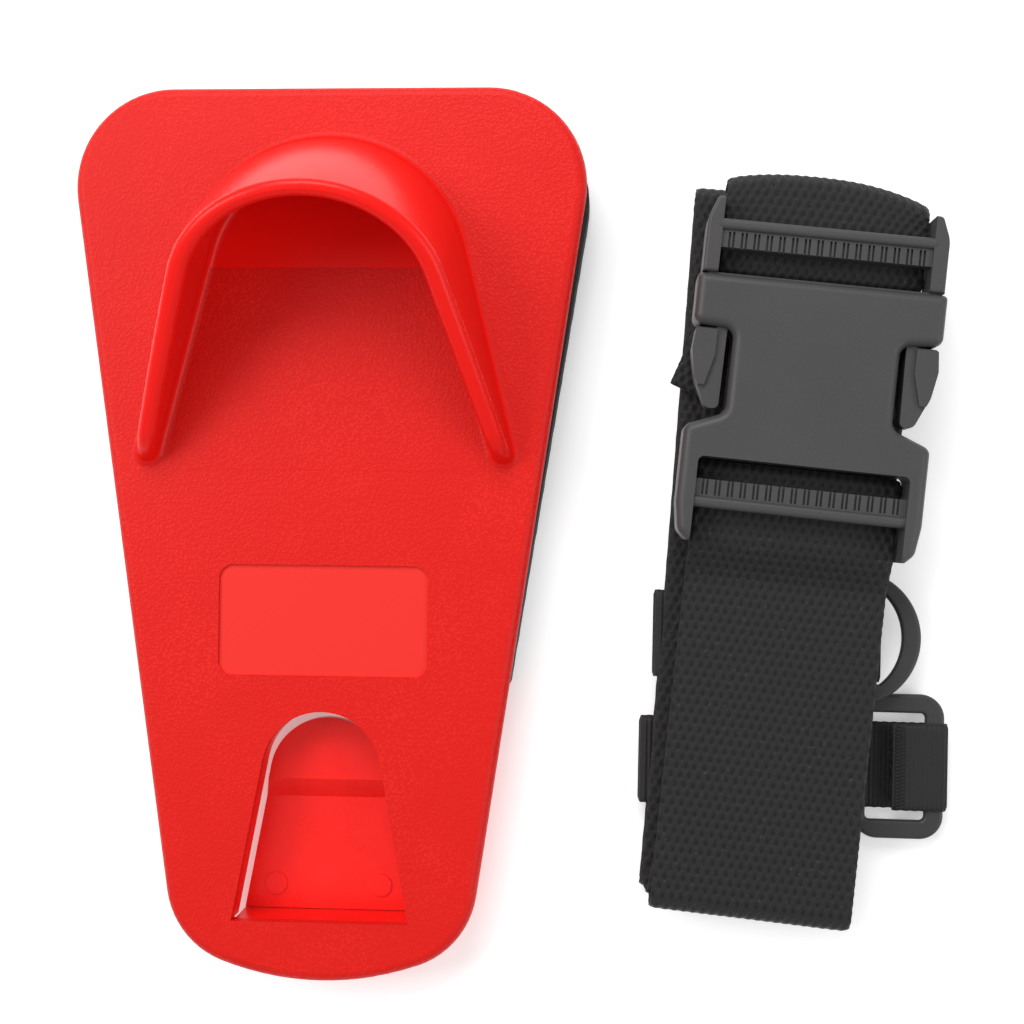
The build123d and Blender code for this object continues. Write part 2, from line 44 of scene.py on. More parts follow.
view = {
    "place": (0.06794, 0.00033, 0.3785),
    "target": (0.04744, 0.0056, 0.016),
    "up": (-0.0110, 0.99994, 0.0),
    "fieldOfView": 38.835,
}


def aimed(place, target, up):
    # turns local -Z to the target, with local Y as near to up as it can be
    look = (Vector(target) - Vector(place)).normalized()
    right = look.cross(Vector(up)).normalized()
    top = right.cross(look)
    turned = Matrix((right, top, -look)).transposed().to_4x4()
    turned.translation = Vector(place)
    return turned


cameraData = bpy.data.cameras.new("camera")
cameraData.angle = math.radians(view["fieldOfView"])
cameraData.clip_start = 0.01
camera = bpy.data.objects.new("camera", cameraData)
bpy.context.collection.objects.link(camera)
camera.matrix_world = aimed(view["place"], view["target"], view["up"])
bpy.context.scene.camera = camera
bpy.context.scene.view_settings.view_transform = "Standard"
bpy.context.scene.view_settings.look = "None"

studio = {
    "skyColour": (1.0, 1.0, 1.0, 1.0),
    "skyStrength": 0.50,
    "floorColour": (0.90, 0.90, 0.90, 1.0),
    "floorGlow": 0.30,
    # name: place, size, power
    "lamps": {
        "topSoftbox": ((-0.10, 0.75, 0.75), 0.55, 6.2),
        "leftSoftbox": ((-0.75, 0.25, 0.85), 0.50, 5.5),
        "rightFill": ((0.95, -0.20, 0.80), 0.70, 4.0),
    },
}


def buildStudio():
    world = bpy.data.worlds.new("studioSky")
    world.use_nodes = True
    sky = world.node_tree.nodes["Background"]
    sky.inputs["Color"].default_value = studio["skyColour"]
    sky.inputs["Strength"].default_value = studio["skyStrength"]
    bpy.context.scene.world = world
    for name, (place, size, power) in studio["lamps"].items():
        lamp = bpy.data.lights.new(name, "AREA")
        lamp.shape = "SQUARE"
        lamp.size = size
        lamp.energy = power
        holder = bpy.data.objects.new(name, lamp)
        bpy.context.collection.objects.link(holder)
        holder.matrix_world = aimed(place, (0.04, 0.0, 0.0), (0, 0.3, 1))
    bpy.ops.mesh.primitive_plane_add(size=4.0, location=(0, 0, 0))
    floor = bpy.context.object
    floor.name = "floor"
    paint = bpy.data.materials.new("floorPaint")
    paint.use_nodes = True
    shader = paint.node_tree.nodes["Principled BSDF"]
    shader.inputs["Base Color"].default_value = studio["floorColour"]
    shader.inputs["Roughness"].default_value = 0.9
    shader.inputs["Emission Color"].default_value = (1.0, 1.0, 1.0, 1.0)
    shader.inputs["Emission Strength"].default_value = studio["floorGlow"]
    floor.data.materials.append(paint)


buildStudio()
print("camera, light and floor ready")


def newGroup(name, inputs, outputs):
    # an empty shader group with float sockets and their first values
    group = bpy.data.node_groups.new(name, "ShaderNodeTree")
    for label, value in inputs.items():
        socket = group.interface.new_socket(name=label, in_out="INPUT", socket_type="NodeSocketFloat")
        socket.default_value = value
    for label in outputs:
        group.interface.new_socket(name=label, in_out="OUTPUT", socket_type="NodeSocketFloat")
    return group, group.nodes.new("NodeGroupInput"), group.nodes.new("NodeGroupOutput")


class Wiring:
    # short ways to add nodes to one tree and link them
    def __init__(self, tree):
        self.tree = tree

    def add(self, kind, **settings):
        node = self.tree.nodes.new(kind)
        for key, value in settings.items():
            setattr(node, key, value)
        return node

    def feed(self, socket, value):
        if isinstance(value, bpy.types.NodeSocket):
            self.tree.links.new(value, socket)
        else:
            socket.default_value = value

    def maths(self, operation, *values):
        node = self.add("ShaderNodeMath", operation=operation)
        for socket, value in zip(node.inputs, values):
            self.feed(socket, value)
        return node.outputs[0]

    def soften(self, value, low, high, newLow=0.0, newHigh=1.0):
        node = self.add("ShaderNodeMapRange", interpolation_type="SMOOTHSTEP")
        for label, item in (("Value", value), ("From Min", low), ("From Max", high),
                            ("To Min", newLow), ("To Max", newHigh)):
            self.feed(node.inputs[label], item)
        return node.outputs["Result"]

    def noise(self, vector, scale, detail=2.0, roughness=0.5):
        node = self.add("ShaderNodeTexNoise")
        self.feed(node.inputs["Vector"], vector)
        self.feed(node.inputs["Scale"], scale)
        self.feed(node.inputs["Detail"], detail)
        self.feed(node.inputs["Roughness"], roughness)
        return node.outputs["Fac"]

    def blend(self, amount, first, second):
        node = self.add("ShaderNodeMix", data_type="RGBA")
        self.feed(node.inputs["Factor"], amount)
        self.feed(node.inputs[6], first)
        self.feed(node.inputs[7], second)
        return node.outputs[2]


def buildLeatherGrain():
    # height = pebbles between cell borders of two sizes, broken up by fine noise
    group, given, result = newGroup("leatherGrain", {"PebblesPerMetre": 900.0, "Softness": 0.5}, ["Height"])
    w = Wiring(group)
    spot = w.add("ShaderNodeTexCoord").outputs["Object"]
    warp = w.add("ShaderNodeTexNoise")
    w.feed(warp.inputs["Vector"], spot)
    w.feed(warp.inputs["Scale"], 700.0)
    bend = w.add("ShaderNodeVectorMath", operation="MULTIPLY_ADD")
    w.feed(bend.inputs[0], warp.outputs["Color"])
    bend.inputs[1].default_value = (0.0009, 0.0009, 0.0009)
    w.feed(bend.inputs[2], spot)
    cells = w.add("ShaderNodeTexVoronoi", feature="SMOOTH_F1")
    w.feed(cells.inputs["Vector"], bend.outputs[0])
    w.feed(cells.inputs["Scale"], given.outputs["PebblesPerMetre"])
    w.feed(cells.inputs["Smoothness"], given.outputs["Softness"])
    pebbles = w.soften(cells.outputs["Distance"], 0.1, 0.75, 1.0, 0.0)
    fine = w.noise(spot, w.maths("MULTIPLY", given.outputs["PebblesPerMetre"], 2.4), 3.0)
    height = w.maths("MULTIPLY_ADD", fine, 0.45, pebbles)
    w.feed(result.inputs["Height"], height)
    return group


def buildWovenRows():
    # height = staggered floats: cosine across times cosine along, each float twisted by fine slanted lines; the
    # second output is painted shade, 1 in the valleys between floats and 0 on them
    group, given, result = newGroup(
        "wovenRows", {"Pitch": 0.0023, "Row": 0.0023, "Twist": 0.35}, ["Height", "PaintedValleyShade"]
    )
    w = Wiring(group)
    flat = w.add("ShaderNodeUVMap", uv_map="strip").outputs["UV"]
    split = w.add("ShaderNodeSeparateXYZ")
    w.feed(split.inputs[0], flat)
    across, along = split.outputs[0], split.outputs[1]
    loose = w.noise(flat, 260.0, 2.0)
    drift = w.maths("MULTIPLY_ADD", loose, 0.0009, -0.00045)
    across = w.maths("ADD", across, drift)
    turnsAcross = w.maths("MULTIPLY", w.maths("DIVIDE", across, given.outputs["Pitch"]), 2 * math.pi)
    turnsAlong = w.maths("MULTIPLY", w.maths("DIVIDE", along, given.outputs["Row"]), math.pi)
    wave = w.maths("MULTIPLY", w.maths("COSINE", turnsAcross), w.maths("COSINE", turnsAlong))
    bands = w.maths("MULTIPLY", w.maths("COSINE", w.maths("MULTIPLY", turnsAlong, 2.0)), -0.3)
    rounded = w.soften(w.maths("ADD", wave, bands), -0.95, 0.85)
    slant = w.maths("ADD", w.maths("MULTIPLY", turnsAcross, 5.0), w.maths("MULTIPLY", turnsAlong, 3.0))
    strands = w.maths("MULTIPLY_ADD", w.maths("SINE", slant), 0.5, 0.5)
    height = w.maths("MULTIPLY_ADD", w.maths("MULTIPLY", strands, given.outputs["Twist"]), rounded, rounded)
    w.feed(result.inputs["Height"], height)
    # painted shade mask for the valleys between the floats
    w.feed(result.inputs["PaintedValleyShade"], w.soften(w.maths("ADD", wave, bands), -1.15, -0.1, 1.0, 0.0))
    return group


def buildMouldSpark():
    # height = fine even spark-eroded texture, value = slow drift of tone over the piece
    group, given, result = newGroup("mouldSpark", {"Fineness": 2600.0}, ["Height", "Drift"])
    w = Wiring(group)
    spot = w.add("ShaderNodeTexCoord").outputs["Object"]
    w.feed(result.inputs["Height"], w.noise(spot, given.outputs["Fineness"], 3.0, 0.6))
    w.feed(result.inputs["Drift"], w.noise(spot, 60.0, 3.0, 0.6))
    return group


leatherGrain = buildLeatherGrain()
wovenRows = buildWovenRows()
mouldSpark = buildMouldSpark()


def startMaterial(name, roughness):
    material = bpy.data.materials.new(name)
    material.use_nodes = True
    shader = material.node_tree.nodes["Principled BSDF"]
    shader.inputs["Roughness"].default_value = roughness
    shader.inputs["Specular IOR Level"].default_value = 0.35
    return material, Wiring(material.node_tree), shader


def placeGroup(w, group, **values):
    node = w.add("ShaderNodeGroup", node_tree=group)
    for label, value in values.items():
        w.feed(node.inputs[label], value)
    return node


def addBump(w, shader, height, strength, distance):
    bump = w.add("ShaderNodeBump")
    bump.inputs["Strength"].default_value = strength
    bump.inputs["Distance"].default_value = distance
    w.feed(bump.inputs["Height"], height)
    w.feed(shader.inputs["Normal"], bump.outputs["Normal"])


plateLook = {
    "grainColour": (0.63, 0.0075, 0.0045, 1.0),
    # the paler grain colour is partly painted sheen on the pebble tops, partly random tone
    "grainSheenAndTone": (0.74, 0.0150, 0.0090, 1.0),
    "smoothColour": (0.82, 0.0080, 0.0050, 1.0),
    "labelColour": (0.76, 0.0260, 0.0190, 1.0),
    "specular": 0.20,
    "pebblesPerMetre": 1350.0,
    "faceZ": 16.0 * mm,
    "labelHalf": (26.4 * mm, 13.9 * mm),
    "labelY": -22.3 * mm,
    "insertY": 66.8 * mm,
    "insertHalfX": 35.0 * mm,
    "seamY": 15.6 * mm,
    "seamHalfX": 45.8 * mm,
    "seamHalfWidth": 0.13 * mm,
}


def insideBand(w, value, centre, half):
    # 1 where value lies within half of centre
    return w.maths("LESS_THAN", w.maths("ABSOLUTE", w.maths("SUBTRACT", value, centre)), half)


def platePlastic():
    look = plateLook
    material, w, shader = startMaterial("platePlastic", 0.4)
    shader.inputs["Specular IOR Level"].default_value = look["specular"]
    spot = w.add("ShaderNodeTexCoord").outputs["Object"]
    split = w.add("ShaderNodeSeparateXYZ")
    w.feed(split.inputs[0], spot)
    x, y, z = split.outputs
    cupWall = w.soften(z, look["faceZ"] + 0.15 * mm, look["faceZ"] + 0.7 * mm)
    insert = w.maths("MULTIPLY", w.maths("GREATER_THAN", y, look["insertY"]),
                     w.maths("LESS_THAN", y, look["insertY"] + 31 * mm))
    insert = w.maths("MULTIPLY", insert, insideBand(w, x, 0.0, look["insertHalfX"]))
    # the insert's far part is an arch: a disc about the cup's closed end
    reach = w.maths("ADD", w.maths("POWER", x, 2.0),
                    w.maths("POWER", w.maths("SUBTRACT", y, look["insertY"] - 2.7 * mm), 2.0))
    insert = w.maths("MULTIPLY", insert, w.maths("LESS_THAN", reach, (34.5 * mm) ** 2))
    label = w.maths("MULTIPLY", insideBand(w, x, 0.0, look["labelHalf"][0]),
                    insideBand(w, y, look["labelY"], look["labelHalf"][1]))
    label = w.maths("MULTIPLY", label, insideBand(w, z, look["faceZ"] - 0.7 * mm, 0.3 * mm))
    below = w.maths("LESS_THAN", z, look["faceZ"] - 2.8 * mm)
    smooth = w.maths("MAXIMUM", w.maths("MAXIMUM", cupWall, insert), w.maths("MAXIMUM", label, below))
    grain = placeGroup(w, leatherGrain, PebblesPerMetre=look["pebblesPerMetre"], Softness=0.35).outputs["Height"]
    patch = w.noise(spot, 45.0, 3.0, 0.6)
    # partly painted sheen, partly random tone: the pebble tops are made lighter and paler in large random patches
    pebbleSheenAndTone = w.soften(w.maths("MULTIPLY", grain, patch), 0.25, 0.9)
    grained = w.blend(pebbleSheenAndTone, look["grainColour"], look["grainSheenAndTone"])
    colour = w.blend(smooth, grained, look["smoothColour"])
    colour = w.blend(label, colour, look["labelColour"])
    w.feed(shader.inputs["Base Color"], colour)
    rough = w.soften(smooth, 0.0, 1.0, 0.43, 0.27)
    rough = w.maths("MULTIPLY_ADD", label, 0.2, rough)
    rough = w.maths("MULTIPLY_ADD", patch, 0.06, rough)
    w.feed(shader.inputs["Roughness"], rough)
    seam = w.maths("MULTIPLY", insideBand(w, y, look["seamY"], look["seamHalfWidth"]),
                   insideBand(w, x, 0.0, look["seamHalfX"]))
    keep = w.maths("SUBTRACT", 1.0, smooth)
    height = w.maths("MULTIPLY", grain, keep)
    height = w.maths("MULTIPLY_ADD", insert, -1.1, height)
    height = w.maths("MULTIPLY_ADD", seam, -0.9, height)
    addBump(w, shader, height, 0.5, 0.1 * mm)
    return material


def tonguePlastic():
    # smoother than the plate: faint grain only, slight flow marks along the tongue
    material, w, shader = startMaterial("tonguePlastic", 0.3)
    spot = w.add("ShaderNodeTexCoord").outputs["Object"]
    flow = w.noise(spot, 120.0, 3.0, 0.6)
    colour = w.blend(flow, (0.80, 0.010, 0.007, 1.0), (0.88, 0.016, 0.012, 1.0))
    w.feed(shader.inputs["Base Color"], colour)
    w.feed(shader.inputs["Roughness"], w.soften(flow, 0.2, 0.8, 0.24, 0.36))
    grain = placeGroup(w, leatherGrain, PebblesPerMetre=900.0, Softness=0.8).outputs["Height"]
    addBump(w, shader, grain, 0.12, 0.1 * mm)
    return material


def mouldedBlack(name, tone, roughness, strength):
    material, w, shader = startMaterial(name, roughness)
    spark = placeGroup(w, mouldSpark, Fineness=2400.0)
    light = tuple(1.28 * part for part in tone)
    speck = w.soften(spark.outputs["Height"], 0.3, 0.7)
    mixed = w.maths("MULTIPLY_ADD", spark.outputs["Drift"], 0.4, w.maths("MULTIPLY", speck, 0.6))
    w.feed(shader.inputs["Base Color"], w.blend(mixed, (*tone, 1.0), (*light, 1.0)))
    w.feed(shader.inputs["Roughness"], w.soften(spark.outputs["Drift"], 0.2, 0.8, roughness - 0.05, roughness + 0.06))
    addBump(w, shader, spark.outputs["Height"], strength, 0.06 * mm)
    return material


def wovenBlack():
    material, w, shader = startMaterial("wovenBlack", 0.72)
    weave = placeGroup(w, wovenRows, Pitch=0.0023, Row=0.0023, Twist=0.35)
    spot = w.add("ShaderNodeTexCoord").outputs["Object"]
    fibre = w.noise(spot, 3200.0, 3.0, 0.7)
    dust = w.soften(w.noise(spot, 900.0, 2.0), 0.66, 0.74)
    raised = w.blend(fibre, (0.0075, 0.0071, 0.0071, 1.0), (0.0160, 0.0150, 0.0150, 1.0))
    # painted shade: the weave's valleys are darkened to near black
    colour = w.blend(weave.outputs["PaintedValleyShade"], raised, (0.002, 0.0019, 0.0019, 1.0))
    colour = w.blend(w.maths("MULTIPLY", dust, 0.12), colour, (0.20, 0.19, 0.18, 1.0))
    w.feed(shader.inputs["Base Color"], colour)
    shader.inputs["Sheen Weight"].default_value = 0.08
    shader.inputs["Sheen Roughness"].default_value = 0.4
    height = w.maths("MULTIPLY_ADD", fibre, 0.25, weave.outputs["Height"])
    addBump(w, shader, height, 0.7, 0.25 * mm)
    return material


def ribbedTape():
    material, w, shader = startMaterial("ribbedTape", 0.6)
    spot = w.add("ShaderNodeTexCoord").outputs["Object"]
    flat = w.add("ShaderNodeUVMap", uv_map="strip").outputs["UV"]
    split = w.add("ShaderNodeSeparateXYZ")
    w.feed(split.inputs[0], flat)
    turns = w.maths("MULTIPLY", split.outputs[0], 2 * math.pi / 0.00045)  # a thread every 0.45 mm
    # threads: 1 on each thread's crest, 0 between; used as bump height and as painted shade in the colour
    threads = w.maths("MULTIPLY_ADD", w.maths("SINE", turns), 0.5, 0.5)
    fibre = w.noise(spot, 3000.0, 3.0, 0.7)
    mixed = w.maths("MULTIPLY", threads, fibre)
    # painted shade: the tape is darker between the threads and lighter on their crests, mixed with random fibre tone
    colour = w.blend(mixed, (0.008, 0.0076, 0.0076, 1.0), (0.024, 0.0225, 0.0225, 1.0))
    w.feed(shader.inputs["Base Color"], colour)
    addBump(w, shader, w.maths("MULTIPLY_ADD", fibre, 0.4, threads), 0.5, 0.08 * mm)
    return material


def cutFoam():
    material, w, shader = startMaterial("cutFoam", 0.85)
    spot = w.add("ShaderNodeTexCoord").outputs["Object"]
    cells = w.add("ShaderNodeTexVoronoi")
    w.feed(cells.inputs["Vector"], spot)
    w.feed(cells.inputs["Scale"], 1700.0)
    patch = w.noise(spot, 150.0, 4.0, 0.6)
    tone = w.maths("MULTIPLY", cells.outputs["Distance"], patch)
    w.feed(shader.inputs["Base Color"], w.blend(tone, (0.012, 0.012, 0.013, 1.0), (0.055, 0.055, 0.058, 1.0)))
    addBump(w, shader, w.maths("ADD", cells.outputs["Distance"], patch), 0.6, 0.25 * mm)
    return material


def threadBlack():
    material, w, shader = startMaterial("threadBlack", 0.55)
    spot = w.add("ShaderNodeTexCoord").outputs["Object"]
    fibre = w.noise(spot, 4000.0, 2.0, 0.7)
    w.feed(shader.inputs["Base Color"], w.blend(fibre, (0.004, 0.004, 0.004, 1.0), (0.018, 0.017, 0.017, 1.0)))
    addBump(w, shader, fibre, 0.4, 0.05 * mm)
    return material


finishes = {
    "platePlastic": platePlastic(),
    "tonguePlastic": tonguePlastic(),
    "bucklePlastic": mouldedBlack("bucklePlastic", (0.045, 0.0430, 0.0438), 0.46, 0.35),
    "ringPlastic": mouldedBlack("ringPlastic", (0.030, 0.0285, 0.029), 0.42, 0.2),
    "glueFilm": mouldedBlack("glueFilm", (0.02, 0.02, 0.02), 0.5, 0.1),
    "wovenBlack": wovenBlack(),
    "ribbedTape": ribbedTape(),
    "cutFoam": cutFoam(),
    "threadBlack": threadBlack(),
}

nodeFinishes = {
    "moulded_plate": "platePlastic",
    "belt_clip_tongue": "tonguePlastic",
    "pad_glue_film": "glueFilm",
    "buckle_socket": "bucklePlastic",
    "buckle_plug": "bucklePlastic",
    "plug_prong_left": "bucklePlastic",
    "plug_prong_right": "bucklePlastic",
    "d_ring": "ringPlastic",
    "square_ring": "ringPlastic",
}

for nodeName, finish in nodeFinishes.items():
    mesh = nodes[nodeName].data
    mesh.materials.clear()
    mesh.materials.append(finishes[finish])
print("materials ready")


def solidFromGrid(name, grid, finish, uv=None, closedAlong=False):
    # grid[i, j] are points: i along the piece, j round its section, which is always closed
    rows, around = grid.shape[:2]
    i = np.arange(rows if closedAlong else rows - 1)[:, None]
    j = np.arange(around)[None, :]
    iNext, jNext = (i + 1) % rows, (j + 1) % around
    quads = np.stack([i * around + j, i * around + jNext, iNext * around + jNext, iNext * around + j], -1)
    faces = quads.reshape(-1, 4).tolist()
    if not closedAlong:
        faces.append(list(range(around))[::-1])
        faces.append(list(range((rows - 1) * around, rows * around)))
    mesh = bpy.data.meshes.new(name)
    mesh.from_pydata(grid.reshape(-1, 3).tolist(), [], faces)
    if uv is not None:
        layer = mesh.uv_layers.new(name="strip")
        corner = np.empty(len(mesh.loops), dtype=np.int32)
        mesh.loops.foreach_get("vertex_index", corner)
        layer.data.foreach_set("uv", uv.reshape(-1, 2)[corner].astype(np.float32).ravel())
    mesh.materials.append(finishes[finish])
    mesh.update()
    mesh.polygons.foreach_set("use_smooth", np.ones(len(mesh.polygons), dtype=bool))
    if signedVolume(mesh) < 0:
        mesh.flip_normals()
    piece = bpy.data.objects.new(name, mesh)
    bpy.context.collection.objects.link(piece)
    return piece


def signedVolume(mesh):
    # sum over triangles of a . (b x c) / 6
    mesh.calc_loop_triangles()
    corners = np.empty(len(mesh.loop_triangles) * 3, dtype=np.int32)
    mesh.loop_triangles.foreach_get("vertices", corners)
    points = np.empty(len(mesh.vertices) * 3, dtype=np.float32)
    mesh.vertices.foreach_get("co", points)
    a, b, c = (points.reshape(-1, 3)[corners.reshape(-1, 3)[:, k]] for k in range(3))
    return float(np.sum(a * np.cross(b, c)) / 6)


def turnZ(degrees):
    return Matrix.Rotation(math.radians(degrees), 4, "Z")


beltFrame = Matrix.Translation((116.4 * mm, 0, 0)) @ turnZ(-5.6)


def placed(points, matrix):
    # points in mm in a local frame, to metres in the row frame
    turn = np.array(matrix.to_3x3())
    return points * mm @ turn.T + np.array(matrix.translation)


def run(level, start, end, step, drift=0.0):
    # straight stretch of a strip's middle line: columns along, height, sideways shift
    count = max(2, int(abs(end - start) / step) + 1)
    along = np.linspace(start, end, count)
    return np.stack([along, np.full(count, level), np.full(count, drift), np.zeros(count)], 1)


def fold(centre, fromLevel, toLevel, way, count, drift=0.0):
    # half turn between two levels, bulging towards way, on a circle of half their distance
    radius = abs(toLevel - fromLevel) / 2
    angle = np.linspace(-math.pi / 2, math.pi / 2, count)
    rise = 1 if toLevel > fromLevel else -1
    along = centre + way * radius * np.cos(angle)
    level = (fromLevel + toLevel) / 2 + rise * radius * np.sin(angle)
    return np.stack([along, level, np.full(count, drift), np.zeros(count)], 1)


def joined(parts):
    # one line from its stretches, each meeting point kept once
    kept = [parts[0]] + [part[1:] for part in parts[1:]]
    return np.concatenate(kept)


def stripSolid(name, line, width, thickness, columns, relief, finish, matrix, acrossAxis,
               alongAxis, shape=None, closed=False):
    # section: a flat bar with rounded edges across the line's plane, its faces raised by relief(across, length)
    # line columns: along, level, sideways shift, in-plane lean of the section
    flat = line[:, :2]
    if closed:
        ahead, behind = np.roll(flat, -1, 0), np.roll(flat, 1, 0)
    else:
        ahead = np.concatenate([flat[1:], flat[-1:]])
        behind = np.concatenate([flat[:1], flat[:-1]])
    tangent = ahead - behind
    tangent /= np.linalg.norm(tangent, axis=1, keepdims=True)
    normal = np.stack([-tangent[:, 1], tangent[:, 0]], 1)
    stepLength = np.linalg.norm(np.diff(flat, axis=0), axis=1)
    length = np.concatenate([[0.0], np.cumsum(stepLength)])
    heading = line[:, 3]
    spread = np.linspace(-1, 1, columns)
    across = np.concatenate([spread, spread[::-1]])
    side = np.concatenate([np.ones(columns), -np.ones(columns)])
    edge = (1 - np.abs(across) ** 24) ** 0.5 * 0.85 + 0.15
    selvedge = width / 2 - 0.12 * (0.5 + 0.5 * np.cos(2 * math.pi * length / 2.3))
    position = across[None, :] * selvedge[:, None]
    raised = relief(position, length[:, None]) * edge[None, :]
    lift = side[None, :] * (thickness / 2 * edge[None, :] + raised)
    turnCos = 1 / np.sqrt(1 + heading**2)
    alongValue = flat[:, :1] + normal[:, :1] * lift
    levelValue = flat[:, 1:] + normal[:, 1:] * lift
    acrossValue = line[:, 2:3] + position * turnCos[:, None]
    alongValue = alongValue - position * (heading * turnCos)[:, None] * tangent[:, :1]
    if shape is not None:
        alongValue, acrossValue, levelValue = shape(alongValue, acrossValue, levelValue, length[:, None])
    grid = np.zeros((*alongValue.shape, 3))
    grid[..., acrossAxis] = acrossValue
    grid[..., alongAxis] = alongValue
    grid[..., 2] = levelValue
    uv = np.stack([position * mm, np.broadcast_to(length[:, None] * mm, position.shape)], -1)
    return solidFromGrid(name, placed(grid, matrix), finish, uv, closed)


def tubeSolid(name, points, radius, around, finish, matrix):
    # round section of constant radius carried along a line of points
    line = np.asarray(points, float)
    tangent = np.gradient(line, axis=0)
    tangent /= np.linalg.norm(tangent, axis=1, keepdims=True)
    up = np.array([0.0, 0.0, 1.0])
    sideways = np.cross(tangent, up)
    sideways /= np.linalg.norm(sideways, axis=1, keepdims=True) + 1e-9
    over = np.cross(sideways, tangent)
    angle = np.linspace(0, 2 * math.pi, around, endpoint=False)
    ring = sideways[:, None, :] * np.cos(angle)[None, :, None] + over[:, None, :] * np.sin(angle)[None, :, None]
    grid = line[:, None, :] + radius * ring
    return solidFromGrid(name, placed(grid, matrix), finish)


webbing = {
    "width": 49.6,
    "thickness": 1.22,
    "pitch": 2.3,
    "row": 2.3,
    "relief": 0.12,
    "columns": 82,
    # levels of the layers' middles, bottom to top
    "cLower": 0.78, "cUpper": 3.95, "bLower": 7.65, "bUpper": 10.9,
    "tail": 12.6, "aLower": 14.3, "aUpper": 16.0, "barRun": 20.4,
    "frontFold": -90.9, "innerFold": -90.0, "endLoop": -90.6,
    "topFold": 80.8, "topLoop": 84.8,
    "socketBar": 14.0, "plugBar": 65.1,
    "tailEnd": 27.0, "tailDrift": 10.3, "tailPoints": 60,
}


def lowerDrift(along):
    # the lower layers lie to the left, more so towards the top
    past = along + 25.0
    return -3.7 - 0.03 * np.maximum(past, 0) - 0.02 * np.minimum(past, 0)


def withDrift(part, drift):
    part[:, 2] = drift(part[:, 0])
    return part


def webbingLine():
    s = webbing
    coarse, fine = 3.2, 0.5
    rampAlong = np.linspace(-1.0, -13.0, 24)
    climb = np.clip((-1.0 - rampAlong) / 12.0, 0, 1)
    climb = climb * climb * (3 - 2 * climb)
    ramp = np.stack([rampAlong, s["barRun"] + (s["aUpper"] - s["barRun"]) * climb, 0 * climb, 0 * climb], 1)
    ease = lambda along: lowerDrift(along) * np.clip(0.5 + (s["frontFold"] + 8 - along) / -16.0, 0, 1)
    # the free tail drifts to the left with the square of its length
    tailLength = s["topLoop"] - s["tailEnd"]
    tailAlong = np.linspace(s["topLoop"], s["tailEnd"], s["tailPoints"])
    gone = (s["topLoop"] - tailAlong) / tailLength
    lean = -2 * s["tailDrift"] * gone / tailLength
    tail = np.stack([tailAlong, np.full(s["tailPoints"], s["tail"]), -s["tailDrift"] * gone**2, lean], 1)
    lower = lambda part: withDrift(part, lowerDrift)
    return joined([
        run(s["aUpper"], 3.0, s["socketBar"], 1.5),
        fold(s["socketBar"], s["aUpper"], s["barRun"], 1, 14),
        run(s["barRun"], s["socketBar"], -1.0, 0.6),
        ramp,
        run(s["aUpper"], -13.0, s["frontFold"], fine),
        fold(s["frontFold"], s["aUpper"], s["bLower"], -1, 22),
        withDrift(run(s["bLower"], s["frontFold"], s["topFold"], coarse), ease),
        lower(fold(s["topFold"], s["bLower"], s["cUpper"], 1, 12)),
        lower(run(s["cUpper"], s["topFold"], s["endLoop"], coarse)),
        lower(fold(s["endLoop"], s["cUpper"], s["cLower"], -1, 12)),
        lower(run(s["cLower"], s["endLoop"], s["topFold"], coarse)),
        lower(fold(s["topFold"], s["cLower"], s["bUpper"], 1, 26)),
        lower(run(s["bUpper"], s["topFold"], s["innerFold"], coarse)),
        withDrift(fold(s["innerFold"], s["bUpper"], s["aLower"], -1, 10), lambda a: 0.5 * lowerDrift(a)),
        run(s["aLower"], s["innerFold"], s["topLoop"], coarse),
        fold(s["topLoop"], s["aLower"], s["aUpper"], 1, 8),
        run(s["aUpper"], s["topLoop"], s["plugBar"], 2.0),
        fold(s["plugBar"], s["aUpper"], s["barRun"], -1, 14),
        run(s["barRun"], s["plugBar"], s["topLoop"], fine),
        fold(s["topLoop"], s["barRun"], s["tail"], 1, 24),
        tail,
    ])


def smoothDrift(line, reach):
    # sideways shifts eased into each other over a number of points
    kernel = np.hanning(reach + 2)[1:-1]
    kernel /= kernel.sum()
    padded = np.pad(line[:, 2], reach // 2, mode="edge")
    line[:, 2] = np.convolve(padded, kernel, mode="valid")[: len(line)]
    return line


def webbingRelief(across, length):
    # staggered floats: cosine across times cosine along
    s = webbing
    wave = np.cos(2 * math.pi * across / s["pitch"]) * np.cos(math.pi * length / s["row"])
    return s["relief"] * wave


def webbingShape(along, across, level, length):
    # the top loops draw in towards their corners, and the layers lie a little unevenly
    reach = np.clip((along - 74.0) / 12.0, 0, 1)
    upper = np.clip((level - 12.0) / 2.0, 0, 1)
    share = np.clip(np.abs(across + 4.0) / 27.0, 0, 1.1)
    along = along - 4.2 * reach**1.5 * upper * share**2.4
    level = level + 0.10 * np.sin(across * 0.16 + along * 0.05) * np.sin(along * 0.07)
    return along, across, level


def buildWebbing():
    s = webbing
    line = smoothDrift(webbingLine(), 6)
    strip = stripSolid("waist_webbing_woven", line, s["width"], s["thickness"], s["columns"], webbingRelief,
                       "wovenBlack", beltFrame, 0, 1, webbingShape)
    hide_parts("waist_webbing")
    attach(strip, "belt")
    flat = np.linalg.norm(np.diff(line[:, :2], axis=0), axis=1).sum()
    print("webbing length in mm:", round(float(flat)))


buildWebbing()


keepers = {
    "width": 22.0,
    "thickness": 0.62,
    "inside": 1.45,
    "tape": 0.8,
    "ribPitch": 1.15,
    "ribHeight": 0.17,
    "left": -30.1,
    "dRingBar": 24.1,
    "dRingLevel": 7.65,
    "dKeeperAlong": -25.0,
    "squareLevel": 3.95,
    "squareAlong": -57.6,
    "squareRight": 46.1,
    "flapEnd": 33.0,
    "turn": 5.0,
}


def keeperFrame(along):
    return beltFrame @ Matrix.Translation((0, along * mm, 0)) @ turnZ(keepers["turn"])


def tapeRelief(across, length):
    # ribs straight across the tape: raised cosine along its length
    s = keepers
    return s["ribHeight"] * np.cos(2 * math.pi * length / s["ribPitch"]) + 0 * across


